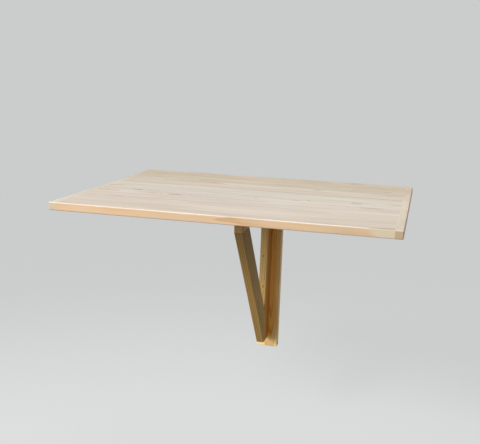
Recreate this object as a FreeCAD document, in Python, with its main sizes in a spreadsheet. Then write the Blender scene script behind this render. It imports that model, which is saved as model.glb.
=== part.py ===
import FreeCAD, Part
import os
import re
import Sketcher

# Wall mounted drop leaf table in pine, open for use: the leaf lies on a gate that swings on a wall post.
# X runs along the wall, Y into the wall and Z up, in millimetres.
# The origin is the middle of the ledger's back face, on the wall.

SIZES = {
    # Table top
    "top_length": 750,
    "top_depth": 600,
    "board_thick": 18,
    "arris_round": 2.5,
    "ledge_depth": 60,
    "leaf_gap": 2,
    "end_strip_width": 17,
    "tongue_length": 6,
    "tongue_thick": 6,
    "tongue_stop": 12,
    "rear_stave_width": 68,
    "stave_width": 110,
    # Planed slats of the wall frame and the gate
    "slat_width": 58,
    "slat_thick": 20,
    "slat_round": 1.5,
    "ledger_inset": 55,
    "gate_reach": 377,
    "gate_height": 432,
    "post_foot": 30.5,
    "gate_shift": 8,
    "gate_gap": 1,
    "arm_clear": 1.2,
    # Rest block under the leaf
    "rest_clear": 0.3,
    "rest_block_length": 90,
    "rest_block_width": 40,
    "rest_screw_spread": 30,
    # Butt hinges, all of one size
    "hinge_length": 60,
    "plate_reach": 16,
    "plate_thick": 1.5,
    "plate_corner": 3,
    "knuckle_radius": 2.5,
    "knuckle_room": 0.3,
    "knuckle_gap": 0.3,
    "pin_radius": 1.2,
    "pin_clear": 0.05,
    "pin_head_radius": 2.1,
    "pin_head_thick": 0.8,
    "mortise_clear": 0.3,
    "top_hinge_inset": 38,
    "upper_hinge_drop": 106,
    "lower_hinge_rise": 60,
    # Countersunk screws
    "screw_radius": 1.5,
    "screw_head_radius": 3,
    "screw_length": 15,
    "screw_tip": 3,
    "screw_inset": 9.5,
    "screw_pitch": 20,
    "recess_length": 3.4,
    "recess_width": 0.9,
    "recess_deep": 1.1,
    "glue_gap": 0.05,
    # Dowels
    "dowel_radius": 4,
    "dowel_length": 36,
    "short_dowel_length": 22,
    "dowel_slack": 1,
    "ledge_dowel_inset": 50,
    "post_dowel_spread": 18,
    "arm_dowel_spread": 15,
    # Holes for the wall screws
    "fix_hole_radius": 2.75,
    "fix_head_radius": 5.5,
    "fix_hole_inset": 80,
}

KNUCKLES = 5

# Places and sizes that follow from the driving ones. Depths are distances out from the wall.
PLACES = {
    "underside": "slat_width / 2",
    "leaf_back": "ledge_depth + leaf_gap",
    "leaf_depth": "top_depth - leaf_back",
    "stave_length": "top_length - 2 * end_strip_width",
    "top_hinge_spread": "(stave_length - hinge_length) / 2 - top_hinge_inset",
    "ledger_length": "top_length - 2 * ledger_inset",
    "ledge_dowel_pitch": "(ledger_length - 2 * ledge_dowel_inset) / 3",
    "fix_spacing": "ledger_length - 2 * fix_hole_inset",
    "tongue_low": "(board_thick - tongue_thick) / 2",
    "knuckle_reach": "knuckle_radius + knuckle_room",
    "knuckle_step": f"hinge_length / {KNUCKLES}",
    "plate_face": "knuckle_reach - plate_thick",
    "leaf_axis_depth": "ledge_depth + leaf_gap / 2",
    "leaf_axis_height": "underside - knuckle_reach",
    "gate_top": "leaf_axis_height - knuckle_radius - arm_clear",
    "gate_bottom": "gate_top - gate_height",
    "gate_middle": "-gate_shift",
    "gate_left": "gate_middle - slat_thick / 2",
    "gate_axis_x": "gate_left - knuckle_reach",
    "gate_axis_depth": "slat_thick + knuckle_reach",
    "stile_back": "slat_thick + gate_gap",
    "stile_front": "stile_back + slat_width",
    "arm_length": "gate_reach - stile_front",
    "arm_bottom": "gate_top - slat_width",
    "brace_drop": "arm_bottom - gate_bottom",
    "brace_slope": "sqrt(arm_length ^ 2 + brace_drop ^ 2)",
    "brace_foot": "slat_width * brace_slope / arm_length",
    "brace_head": "slat_width * brace_slope / brace_drop",
    "upper_hinge": "gate_top - upper_hinge_drop",
    "lower_hinge": "gate_bottom + lower_hinge_rise",
    "mortise_deep": "2 * knuckle_reach - gate_gap",
    "pilot_radius": "screw_radius + glue_gap",
    "pilot_deep": "screw_length - plate_thick + glue_gap",
    "head_deep": "screw_head_radius - screw_radius",
    "dowel_hole": "dowel_radius + glue_gap",
    "fix_head_deep": "fix_head_radius - fix_hole_radius",
    "post_bottom": "gate_bottom - post_foot",
    "post_length": "-slat_width / 2 - post_bottom",
    "post_hole_height": "(upper_hinge + lower_hinge) / 2",
    "rest_block_thick": "underside - gate_top - rest_clear",
    "rest_block_depth": "leaf_back + rear_stave_width + 3 / 2 * stave_width",
    "rest_pilot_deep": "screw_length - rest_block_thick + glue_gap",
}

ALONG = {
    "x": FreeCAD.Vector(1, 0, 0),
    "y": FreeCAD.Vector(0, 1, 0),
    "z": FreeCAD.Vector(0, 0, 1),
}
UPRIGHT = FreeCAD.Rotation()
THIRDS = ("1 / 3", "2 / 3")
HAIR = 0.001

doc = FreeCAD.newDocument("drop_leaf_table")
sheet = doc.addObject("Spreadsheet::Sheet", "dims")
for row, (alias, number) in enumerate(SIZES.items(), 1):
    sheet.set(f"A{row}", alias.replace("_", " "))
    sheet.set(f"B{row}", str(number))
    sheet.setAlias(f"B{row}", alias)
doc.recompute()

pieces = []
corners = {}


def formula(text):
    """Spell a formula out in the sheet's own cells."""
    def spell(match):
        word = match.group(0)
        if word in PLACES:
            return "(" + formula(PLACES[word]) + ")"
        return "dims." + word if word in SIZES else word
    return re.sub(r"[a-z_]+", spell, text)


def value(text):
    """Work a formula out as a number, for the first shape of a sketch."""
    return float(sheet.evalExpression(formula(text)))


def bind(thing, bindings):
    """Tie properties to formulas."""
    for path, text in bindings.items():
        thing.setExpression(path, formula(text))


def place(thing, corner, rotation=UPRIGHT):
    """Put a thing at a corner given by three formulas."""
    thing.Placement = FreeCAD.Placement(FreeCAD.Vector(), rotation)
    bind(thing, {"Placement.Base." + axis: text for axis, text in zip("xyz", corner)})


def keep(thing, label):
    """Name a finished piece and put it on the list that is written out."""
    thing.Label = label
    pieces.append(thing)
    return thing


def new_body(label, corner, rotation=UPRIGHT):
    """Start a piece of its own at its corner."""
    body = doc.addObject("PartDesign::Body", label)
    place(body, corner, rotation)
    corners[label] = corner
    return body


def add_box(body, kind, name, corner, size):
    """Add or cut a block, measured from the body's own corner."""
    box = body.newObject(f"PartDesign::{kind}Box", name)
    bind(box, dict(zip(("Length", "Width", "Height"), size)))
    place(box, corner)


def board(label, corner, size):
    """A planed board, given by its low corner and its size along X, Y and Z."""
    body = new_body(label, corner)
    add_box(body, "Additive", label + "_blank", ("0", "0", "0"), size)
    return keep(body, label)


def round_over(body, radius, chosen):
    """Round the straight edges that the test picks."""
    doc.recompute()
    tip = body.Tip
    names = []
    for number, edge in enumerate(tip.Shape.Edges, 1):
        if edge.Curve.TypeId == "Part::GeomLine" and chosen(edge.tangentAt(0), edge.CenterOfMass):
            names.append(f"Edge{number}")
    rounding = body.newObject("PartDesign::Fillet", body.Label + "_round")
    rounding.Base = (tip, names)
    bind(rounding, {"Radius": radius})


def along(axis):
    """A test for edges that run along one axis."""
    return lambda direction, middle: abs(direction.dot(ALONG[axis])) > 1 - HAIR


def front_along(axis):
    """A test for edges on a board's front face that run along one axis."""
    return lambda direction, middle: along(axis)(direction, middle) and middle.y < HAIR


def front_face(direction, middle):
    """A test for all the edges of a board's front face."""
    return middle.y < HAIR


def bottom_face(direction, middle):
    """A test for all the edges of a board's bottom face."""
    return middle.z < HAIR


def any_of(*tests):
    """A test for edges that at least one of the tests picks."""
    return lambda direction, middle: any(test(direction, middle) for test in tests)


def drill(body, name, start, axis, way, radius, deep):
    """Bore a round hole from a point of the whole table, along an axis, one way or the other."""
    hole = body.newObject("PartDesign::SubtractiveCylinder", name)
    bind(hole, {"Radius": radius, "Height": deep})
    local = [f"({point}) - ({origin})" for point, origin in zip(start, corners[body.Name])]
    place(hole, local, FreeCAD.Rotation(ALONG["z"], ALONG[axis] * way))


def countersink(body, name, start, axis, way, wide, narrow, deep):
    """Open the mouth of a hole to a cone for a screw's head."""
    cone = body.newObject("PartDesign::SubtractiveCone", name)
    bind(cone, {"Radius1": wide, "Radius2": narrow, "Height": deep})
    local = [f"({point}) - ({origin})" for point, origin in zip(start, corners[body.Name])]
    place(cone, local, FreeCAD.Rotation(ALONG["z"], ALONG[axis] * way))


def group(label, members):
    """Several like pieces under one name."""
    compound = doc.addObject("Part::Compound", label)
    compound.Links = members
    return keep(compound, label)


def dowel_joint(name, point, axis, length, low_body, high_body):
    """A dowel across a joint, with its hole in the piece on each side."""
    deep = f"({length}) / 2 + dowel_slack"
    drill(low_body, name + "_low_hole", point, axis, -1, "dowel_hole", deep)
    drill(high_body, name + "_high_hole", point, axis, 1, "dowel_hole", deep)
    dowel = doc.addObject("Part::Cylinder", name)
    bind(dowel, {"Radius": "dowel_radius", "Height": length})
    start = [f"({text}) - ({length}) / 2" if letter == axis else text for letter, text in zip("xyz", point)]
    place(dowel, start, FreeCAD.Rotation(ALONG["z"], ALONG[axis]))
    return dowel


def sketch_on(body, name, role):
    """A sketch on one of the body's own planes."""
    sketch = body.newObject("Sketcher::SketchObject", name)
    plane = next(feature for feature in body.Origin.OriginFeatures if feature.Role == role)
    sketch.AttachmentSupport = [(plane, "")]
    sketch.MapMode = "FlatFace"
    return sketch


def outline(sketch, points):
    """A closed outline with each corner tied to formulas, measured from the sketch's origin."""
    spots = [FreeCAD.Vector(value(across), value(up), 0) for across, up in points]
    for start, end in zip(spots, spots[1:] + spots[:1]):
        sketch.addGeometry(Part.LineSegment(start, end))
    for line in range(len(points)):
        sketch.addConstraint(Sketcher.Constraint("Coincident", line, 2, (line + 1) % len(points), 1))
    for line, point in enumerate(points):
        for kind, axis_line, text in zip(("DistanceX", "DistanceY"), (-2, -1), point):
            if text == "0":
                sketch.addConstraint(Sketcher.Constraint("PointOnObject", line, 1, axis_line))
                continue
            number = sketch.addConstraint(Sketcher.Constraint(kind, -1, 1, line, 1, value(text)))
            bind(sketch, {f"Constraints[{number}]": text})


def pad(body, sketch, length):
    """Raise a sketch to a solid."""
    raised = body.newObject("PartDesign::Pad", body.Name + "_pad")
    raised.Profile = sketch
    bind(raised, {"Length": length})


def turned(body, points):
    """Turn a half outline, drawn across from the body's Z axis, to a round solid."""
    sketch = sketch_on(body, body.Name + "_outline", "XZ_Plane")
    outline(sketch, points)
    solid = body.newObject("PartDesign::Revolution", body.Name + "_turned")
    solid.Profile = sketch
    solid.ReferenceAxis = (sketch, ["V_Axis"])
    solid.Angle = 360


# Wall frame: ledger, post and the fixed ledge board with its end strips

ledger = board(
    "wall_ledger",
    ("-ledger_length / 2", "-slat_thick", "-slat_width / 2"),
    ("ledger_length", "slat_thick", "slat_width"),
)
round_over(ledger, "slat_round", front_face)

post = board(
    "wall_post",
    ("-slat_width / 2", "-slat_thick", "post_bottom"),
    ("slat_width", "slat_thick", "post_length"),
)
round_over(post, "slat_round", any_of(front_along("z"), bottom_face))

for number, side in enumerate(("-", "+"), 1):
    mouth = (f"{side}fix_spacing / 2", "-slat_thick", "0")
    drill(ledger, f"ledger_fix_hole_{number}", mouth, "y", 1, "fix_hole_radius", "slat_thick")
    countersink(
        ledger,
        f"ledger_fix_cone_{number}",
        mouth,
        "y",
        1,
        "fix_head_radius",
        "fix_hole_radius",
        "fix_head_deep",
    )
mouth = ("gate_middle", "-slat_thick", "post_hole_height")
drill(post, "post_fix_hole", mouth, "y", 1, "fix_hole_radius", "slat_thick")
countersink(post, "post_fix_cone", mouth, "y", 1, "fix_head_radius", "fix_hole_radius", "fix_head_deep")


def stave(label, low_depth, width, back_stop, front_stop):
    """A stave of the top with a tongue on each end. The stops keep the tongue back from an edge."""
    corner = ("-stave_length / 2", f"-({low_depth}) - ({width})", "underside")
    body = board(label, corner, ("stave_length", width, "board_thick"))
    return body, (front_stop, f"({width}) - ({front_stop}) - ({back_stop})")


def tongues(body, span):
    """The tongues that hold a stave in the end strips."""
    start, width = span
    size = ("tongue_length", width, "tongue_thick")
    add_box(body, "Additive", body.Name + "_left_tongue", ("-tongue_length", start, "tongue_low"), size)
    add_box(body, "Additive", body.Name + "_right_tongue", ("stave_length", start, "tongue_low"), size)


def end_strip(label, side, low_depth, depth, chosen):
    """A cross strip on one end of the top, grooved for the tongues."""
    low_x = "-top_length / 2" if side == "left" else "top_length / 2 - end_strip_width"
    corner = (low_x, f"-({low_depth}) - ({depth})", "underside")
    body = board(label, corner, ("end_strip_width", depth, "board_thick"))
    round_over(body, "arris_round", chosen)
    groove_x = "end_strip_width - tongue_length - glue_gap" if side == "left" else "0"
    add_box(
        body,
        "Subtractive",
        label + "_groove",
        (groove_x, "tongue_stop - glue_gap", "tongue_low - glue_gap"),
        (
            "tongue_length + glue_gap",
            f"({depth}) - 2 * tongue_stop + 2 * glue_gap",
            "tongue_thick + 2 * glue_gap",
        ),
    )


def outer_edges(side, front):
    """A test for the edges of an end strip that show: its outer long edges and, on the leaf, its front."""
    def chosen(direction, middle):
        half = value("end_strip_width") / 2
        outer = middle.x < HAIR if side == "left" else middle.x > 2 * half - HAIR
        if along("y")(direction, middle):
            return outer
        if not front or middle.y > HAIR:
            return False
        return outer or along("x")(direction, middle) and abs(middle.x - half) < half
    return chosen


ledge_board, ledge_span = stave("ledge_board", "0", "ledge_depth", "tongue_stop", "tongue_stop")
tongues(ledge_board, ledge_span)
for side in ("left", "right"):
    end_strip(f"ledge_end_strip_{side}", side, "0", "ledge_depth", outer_edges(side, False))

ledge_dowels = []
for number, step in enumerate(("-3 / 2", "-1 / 2", "1 / 2", "3 / 2"), 1):
    point = (f"ledge_dowel_pitch * ({step})", "-slat_thick / 2", "underside")
    ledge_dowels.append(
        dowel_joint(f"ledge_dowel_{number}", point, "z", "short_dowel_length", ledger, ledge_board)
    )
group("ledge_dowels", ledge_dowels)

post_dowels = []
for number, side in enumerate(("-", "+"), 1):
    point = (f"{side}post_dowel_spread", "-slat_thick / 2", "-slat_width / 2")
    post_dowels.append(dowel_joint(f"post_dowel_{number}", point, "z", "dowel_length", post, ledger))
group("post_dowels", post_dowels)


# Leaf: five staves between two end strips. The front stave takes what the others leave.

rear_stave, rear_span = stave("leaf_stave_rear", "leaf_back", "rear_stave_width", "tongue_stop", "0")
tongues(rear_stave, rear_span)
middle_staves = []
for number in range(3):
    start = f"leaf_back + rear_stave_width + {number} * stave_width"
    body, span = stave(f"leaf_stave_middle_{number + 1}", start, "stave_width", "0", "0")
    tongues(body, span)
    middle_staves.append(body)
front_start = "leaf_back + rear_stave_width + 3 * stave_width"
front_stave, front_span = stave(
    "leaf_stave_front", front_start, f"top_depth - ({front_start})", "0", "tongue_stop"
)
round_over(front_stave, "arris_round", front_along("x"))
tongues(front_stave, front_span)
for side in ("left", "right"):
    end_strip(f"leaf_end_strip_{side}", side, "leaf_back", "leaf_depth", outer_edges(side, True))


# Gate: stile, arm and brace of one slat, doweled at the corners

stile = board(
    "gate_stile",
    ("gate_left", "-stile_front", "gate_bottom"),
    ("slat_thick", "slat_width", "gate_height"),
)
round_over(stile, "slat_round", any_of(along("x"), along("y"), along("z")))

arm = board(
    "gate_arm",
    ("gate_left", "-gate_reach", "arm_bottom"),
    ("slat_thick", "arm_length", "slat_width"),
)
round_over(arm, "slat_round", any_of(along("y"), front_face))

brace = keep(new_body("gate_brace", ("gate_left", "-gate_reach", "gate_bottom")), "gate_brace")
brace_sketch = sketch_on(brace, "gate_brace_outline", "YZ_Plane")
outline(
    brace_sketch,
    [("arm_length", "0"), ("arm_length", "brace_foot"), ("brace_head", "brace_drop"), ("0", "brace_drop")],
)
pad(brace, brace_sketch, "slat_thick")
brace_way = FreeCAD.Vector(0, -value("arm_length"), value("brace_drop")).normalize()
round_over(brace, "slat_round", lambda direction, middle: abs(direction.dot(brace_way)) > 1 - HAIR)

gate_dowels = []
for number, side in enumerate(("-", "+"), 1):
    point = ("gate_middle", "-stile_front", f"gate_top - slat_width / 2 {side} arm_dowel_spread")
    gate_dowels.append(dowel_joint(f"arm_dowel_{number}", point, "y", "dowel_length", arm, stile))
for number, share in enumerate(THIRDS, 1):
    point = ("gate_middle", "-stile_front", f"gate_bottom + brace_foot * {share}")
    gate_dowels.append(dowel_joint(f"foot_dowel_{number}", point, "y", "dowel_length", brace, stile))
    point = ("gate_middle", f"-gate_reach + brace_head * {share}", "arm_bottom")
    gate_dowels.append(dowel_joint(f"head_dowel_{number}", point, "z", "dowel_length", brace, arm))
group("gate_dowels", gate_dowels)


# Screws: one pattern screw, used wherever a plate or block is screwed on

pattern_screw = new_body("pattern_screw", ("0", "0", "0"))
turned(
    pattern_screw,
    [
        ("0", "0"),
        ("screw_head_radius", "0"),
        ("screw_radius", "head_deep"),
        ("screw_radius", "screw_length - screw_tip"),
        ("0", "screw_length"),
    ],
)
for name, size_x, size_y in (
    ("recess_bar", "recess_length", "recess_width"),
    ("recess_crossbar", "recess_width", "recess_length"),
):
    corner = (f"-{size_x} / 2", f"-{size_y} / 2", "0")
    add_box(pattern_screw, "Subtractive", name, corner, (size_x, size_y, "recess_deep"))


def screw(name, corner, rotation):
    """A copy of the pattern screw with its head at a point."""
    copy = doc.addObject("Part::Compound", name)
    copy.Links = [pattern_screw]
    place(copy, corner, rotation)
    return copy


# Hinges: a plate lies along its own X with the wood on its +Y side, and its pin runs along its own Z

PLATE_SCREW = FreeCAD.Rotation(ALONG["z"], ALONG["y"])
plate_screws = []
for step in (-1, 0, 1):
    spot = ("screw_inset", "plate_face", f"hinge_length / 2 + {step} * screw_pitch")
    plate_screws.append(screw(f"plate_screw_{step + 2}", spot, PLATE_SCREW))
screw_row = doc.addObject("Part::Compound", "screw_row")
screw_row.Links = plate_screws


def hinge_plate(label, corner, rotation, own_knuckles):
    """One plate of a butt hinge, with the knuckles that it owns, its pin bore and its screw holes."""
    body = keep(new_body(label, corner, rotation), label)
    sketch = sketch_on(body, label + "_outline", "XY_Plane")
    outline(
        sketch,
        [
            ("0", "plate_face"),
            ("plate_reach", "plate_face"),
            ("plate_reach", "knuckle_reach"),
            ("0", "knuckle_reach"),
        ],
    )
    pad(body, sketch, "hinge_length")
    reach = value("plate_reach")
    round_over(body, "plate_corner", lambda way, middle: along("y")(way, middle) and middle.x > reach - HAIR)
    barrel = body.newObject("PartDesign::AdditiveCylinder", label + "_barrel")
    bind(barrel, {"Radius": "knuckle_radius", "Height": "hinge_length"})
    bore = body.newObject("PartDesign::SubtractiveCylinder", label + "_bore")
    bind(bore, {"Radius": "pin_radius + pin_clear", "Height": "hinge_length"})
    for knuckle in range(KNUCKLES):
        if knuckle not in own_knuckles:
            low = f"{knuckle} * knuckle_step - knuckle_gap / 2"
            size = ("2 * knuckle_reach", "3 * knuckle_reach", "knuckle_step + knuckle_gap")
            start = ("-knuckle_reach", "-knuckle_reach", low)
            add_box(body, "Subtractive", f"{label}_slot_{knuckle}", start, size)
    corners[label] = ("0", "0", "0")
    for step in (-1, 0, 1):
        mouth = ("screw_inset", "plate_face", f"hinge_length / 2 + {step} * screw_pitch")
        drill(body, f"{label}_hole_{step + 2}", mouth, "y", 1, "pilot_radius", "plate_thick")
        countersink(
            body,
            f"{label}_cone_{step + 2}",
            mouth,
            "y",
            1,
            "screw_head_radius + glue_gap",
            "pilot_radius",
            "head_deep",
        )


def hinge_pin(label, corner, rotation):
    """A pin with a flat head, long enough for all the knuckles."""
    body = keep(new_body(label, corner, rotation), label)
    turned(
        body,
        [
            ("0", "0"),
            ("pin_radius", "0"),
            ("pin_radius", "hinge_length"),
            ("pin_head_radius", "hinge_length"),
            ("pin_head_radius", "hinge_length + pin_head_thick"),
            ("0", "hinge_length + pin_head_thick"),
        ],
    )


def screw_set(name, corner, rotation):
    """The row of screws of one plate, placed as the plate is."""
    copy = doc.addObject("Part::Compound", name)
    copy.Links = [screw_row]
    place(copy, corner, rotation)
    return copy


FIXED_KNUCKLES = (0, 2, 4)
MOVING_KNUCKLES = (1, 3)

# Three hinges under the joint of ledge and leaf

TOWARDS_WALL = FreeCAD.Rotation(ALONG["y"], ALONG["z"], ALONG["x"], "XYZ")
TOWARDS_ROOM = FreeCAD.Rotation(-ALONG["y"], ALONG["z"], -ALONG["x"], "XYZ")
ledge_screws = []
leaf_screws = []
for name, middle in (("left", "-top_hinge_spread"), ("centre", "0"), ("right", "top_hinge_spread")):
    low_end = (f"{middle} - hinge_length / 2", "-leaf_axis_depth", "leaf_axis_height")
    high_end = (f"{middle} + hinge_length / 2", "-leaf_axis_depth", "leaf_axis_height")
    hinge_plate(f"top_hinge_{name}_ledge_plate", low_end, TOWARDS_WALL, FIXED_KNUCKLES)
    hinge_plate(f"top_hinge_{name}_leaf_plate", high_end, TOWARDS_ROOM, MOVING_KNUCKLES)
    hinge_pin(f"top_hinge_{name}_pin", low_end, TOWARDS_WALL)
    ledge_screws.append(screw_set(f"ledge_screw_row_{name}", low_end, TOWARDS_WALL))
    leaf_screws.append(screw_set(f"leaf_screw_row_{name}", high_end, TOWARDS_ROOM))
    for step in (-1, 0, 1):
        along_joint = f"{middle} + {step} * screw_pitch"
        spot = (along_joint, "-leaf_axis_depth + screw_inset", "underside")
        drill(ledge_board, f"ledge_pilot_{name}_{step + 2}", spot, "z", 1, "pilot_radius", "pilot_deep")
        spot = (along_joint, "-leaf_axis_depth - screw_inset", "underside")
        drill(rear_stave, f"leaf_pilot_{name}_{step + 2}", spot, "z", 1, "pilot_radius", "pilot_deep")
group("top_hinge_ledge_screws", ledge_screws)
group("top_hinge_leaf_screws", leaf_screws)

# Two hinges between post and stile, closed while the gate stands out, let into the stile's back edge

TURNED_OVER = FreeCAD.Rotation(ALONG["x"], 180)
post_screws = []
stile_screws = []
for name, middle in (("upper", "upper_hinge"), ("lower", "lower_hinge")):
    low_end = ("gate_axis_x", "-gate_axis_depth", f"{middle} - hinge_length / 2")
    high_end = ("gate_axis_x", "-gate_axis_depth", f"{middle} + hinge_length / 2")
    add_box(
        stile,
        "Subtractive",
        f"stile_mortise_{name}",
        (
            "-slat_round",
            "slat_width - mortise_deep",
            f"{middle} - hinge_length / 2 - mortise_clear - gate_bottom",
        ),
        (
            "plate_reach - knuckle_reach + mortise_clear + slat_round",
            "mortise_deep",
            "hinge_length + 2 * mortise_clear",
        ),
    )
    hinge_plate(f"gate_hinge_{name}_post_plate", low_end, UPRIGHT, FIXED_KNUCKLES)
    hinge_plate(f"gate_hinge_{name}_gate_plate", high_end, TURNED_OVER, MOVING_KNUCKLES)
    hinge_pin(f"gate_hinge_{name}_pin", low_end, UPRIGHT)
    post_screws.append(screw_set(f"post_screw_row_{name}", low_end, UPRIGHT))
    stile_screws.append(screw_set(f"stile_screw_row_{name}", high_end, TURNED_OVER))
    for step in (-1, 0, 1):
        height = f"{middle} + {step} * screw_pitch"
        spot = ("gate_axis_x + screw_inset", "-slat_thick", height)
        drill(post, f"post_pilot_{name}_{step + 2}", spot, "y", 1, "pilot_radius", "pilot_deep")
        spot = ("gate_axis_x + screw_inset", "-gate_axis_depth - knuckle_reach", height)
        drill(stile, f"stile_pilot_{name}_{step + 2}", spot, "y", -1, "pilot_radius", "pilot_deep")
group("gate_hinge_post_screws", post_screws)
group("gate_hinge_gate_screws", stile_screws)


# Rest block: the pad under the leaf that the arm bears on, screwed to the stave above it

rest_corner = (
    "gate_middle - rest_block_width / 2",
    "-rest_block_depth - rest_block_length / 2",
    "underside - rest_block_thick",
)
rest_block = board("rest_block", rest_corner, ("rest_block_width", "rest_block_length", "rest_block_thick"))
round_over(rest_block, "slat_round", any_of(along("z"), bottom_face))
rest_screws = []
for number, side in enumerate(("-", "+"), 1):
    across = f"-rest_block_depth {side} rest_screw_spread"
    head = ("gate_middle", across, "underside - rest_block_thick")
    drill(rest_block, f"rest_hole_{number}", head, "z", 1, "pilot_radius", "rest_block_thick")
    countersink(
        rest_block,
        f"rest_cone_{number}",
        head,
        "z",
        1,
        "screw_head_radius + glue_gap",
        "pilot_radius",
        "head_deep",
    )
    spot = ("gate_middle", across, "underside")
    drill(middle_staves[1], f"rest_pilot_{number}", spot, "z", 1, "pilot_radius", "rest_pilot_deep")
    rest_screws.append(screw(f"rest_screw_{number}", head, UPRIGHT))
group("rest_block_screws", rest_screws)


# Check every object, then write each piece to its own file

doc.recompute()
for thing in doc.Objects:
    if "Invalid" in thing.State or "Error" in thing.State:
        raise RuntimeError(f"{thing.Name} failed: {thing.State}")
os.makedirs("parts", exist_ok=True)
for piece in pieces:
    if piece.Shape.isNull() or not piece.Shape.isValid():
        raise RuntimeError(f"{piece.Label} has no valid shape")
for piece in pieces:
    piece.Shape.exportStep(f"parts/{piece.Label}.step")
    print(piece.Label, len(piece.Shape.Solids), "solids", round(piece.Shape.Volume), "mm3")
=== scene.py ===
# %% [markdown]
# # A drop leaf table in planed pine
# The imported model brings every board, hinge plate, pin, screw and dowel at its real size and place.
# This notebook gives them their finish, then adds a floor, soft light and a camera.
# The wood is the hard part, so most cells are about it. One node group stands for a pine log, and every
# board says where in such a log it was sawn. The grain then runs on correctly from a face to an edge and
# to the sawn end, which a flat picture of wood can't do.

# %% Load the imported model
import math

import bpy
import bmesh
from mathutils import Euler, Matrix, Vector


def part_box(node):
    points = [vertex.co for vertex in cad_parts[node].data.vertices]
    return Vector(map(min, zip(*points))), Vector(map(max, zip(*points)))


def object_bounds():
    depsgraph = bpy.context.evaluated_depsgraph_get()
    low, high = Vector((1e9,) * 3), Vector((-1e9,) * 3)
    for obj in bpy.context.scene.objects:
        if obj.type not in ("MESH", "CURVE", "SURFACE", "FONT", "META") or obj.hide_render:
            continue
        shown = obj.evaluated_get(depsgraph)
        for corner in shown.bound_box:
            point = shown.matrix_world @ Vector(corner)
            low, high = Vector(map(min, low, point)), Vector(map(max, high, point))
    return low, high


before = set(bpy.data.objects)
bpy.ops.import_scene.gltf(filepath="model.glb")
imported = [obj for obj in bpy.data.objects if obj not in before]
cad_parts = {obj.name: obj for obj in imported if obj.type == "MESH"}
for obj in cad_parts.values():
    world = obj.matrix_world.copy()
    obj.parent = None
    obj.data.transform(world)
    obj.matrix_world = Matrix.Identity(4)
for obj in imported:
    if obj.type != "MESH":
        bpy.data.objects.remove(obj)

MM = 0.001  # one millimetre in metres
cad_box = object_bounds()
print("nodes loaded:", len(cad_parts))
print("box in mm:", [round(side / MM) for side in cad_box[1] - cad_box[0]])

# %% [markdown]
# ## Helpers
# Colours are easiest to read as the hex codes of a paint chart. Those are sRGB values, and a shader works
# with linear light, so one function turns one into the other.
# The next helper adds a node. It sets the node's properties, then fills each input with a plain value
# or with a link from another node. That keeps a node tree readable from top to bottom. A Mix node has
# sockets for every kind of data, several of them under one name, so those for colours go by number.
# The last two helpers start an empty material and put a material on the objects that wear it.

# %% Helpers for colours, nodes and materials
SHARE, FROM, TO, MIXED = 0, 6, 7, 2  # sockets of a Mix node for colours


def linear(code):
    """An sRGB hex colour as linear red, green, blue and a full alpha."""
    parts = [int(code[place:place + 2], 16) / 255 for place in (1, 3, 5)]
    return [part / 12.92 if part <= 0.04045 else ((part + 0.055) / 1.055) ** 2.4 for part in parts] + [1.0]


def add_node(tree, kind, inputs=(), stops=(), **settings):
    """Add a node with its settings, the stops of its ramp, and its inputs as values or as links."""
    made = tree.nodes.new(kind)
    for name, setting in settings.items():
        setattr(made, name, setting)
    for number, (place, colour) in enumerate(stops):
        ramp = made.color_ramp.elements
        stop = ramp[number] if number < len(ramp) else ramp.new(place)
        stop.position = place
        stop.color = colour
    for socket, given in dict(inputs).items():
        if isinstance(given, bpy.types.NodeSocket):
            tree.links.new(given, made.inputs[socket])
        else:
            made.inputs[socket].default_value = given
    return made


def blank_material(name):
    """A new material with an empty node tree."""
    material = bpy.data.materials.new(name)
    material.use_nodes = True
    material.node_tree.nodes.clear()
    return material


def dress(nodes, material):
    """Give CAD nodes one material in place of the one they came with."""
    for node in nodes:
        node.data.materials.clear()
        node.data.materials.append(material)


print("white is", linear("#ffffff"), "and mid grey is", [round(part, 3) for part in linear("#808080")])

# %% [markdown]
# ## A pine log as a node group
# Pine grows a pale, soft band in spring and a narrow, darker, harder band in late summer. A sawn face
# shows these rings as lines, arches or arcs, and which of them depends only on where the saw went through
# the log. So the group works with a point's place in the log, in millimetres: X runs along the pith, and
# the distance from the pith picks the ring. It also takes what differs from board to board: the width of
# a ring, the size of the reddish heart, the knots, and how far a face is cut across the grain.

# %% The log's inputs and outputs
log = bpy.data.node_groups.new("sawn_pine_log", "ShaderNodeTree")
LOG_INPUTS = {
    "Place in log": "NodeSocketVector",
    "Ring width": "NodeSocketFloat",
    "Heart radius": "NodeSocketFloat",
    "Knot distance": "NodeSocketFloat",
    "End grain": "NodeSocketFloat",
    "Spring wood": "NodeSocketColor",
    "Summer wood": "NodeSocketColor",
    "Heart wood": "NodeSocketColor",
    "End wood": "NodeSocketColor",
    "Knot wood": "NodeSocketColor",
    "Knot rim": "NodeSocketColor",
}
LOG_OUTPUTS = {"Colour": "NodeSocketColor", "Roughness": "NodeSocketFloat", "Height": "NodeSocketFloat"}
for way, sockets in (("INPUT", LOG_INPUTS), ("OUTPUT", LOG_OUTPUTS)):
    for name, kind in sockets.items():
        log.interface.new_socket(name=name, in_out=way, socket_type=kind)
board_in = add_node(log, "NodeGroupInput").outputs
print("the log takes", list(LOG_INPUTS), "and gives", list(LOG_OUTPUTS))

# %% [markdown]
# ## What is irregular in the log
# Nothing in a tree is straight. Six noise patterns carry that, each stretched along the grain.
# Their sizes are real ones in millimetres: the trunk sways over a third of a metre, a fibre is a streak
# some centimetres long. Fibres and resin canals are really a few hundredths to two tenths of a millimetre
# wide, too fine to show here, so both are drawn about a millimetre wide.

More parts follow.
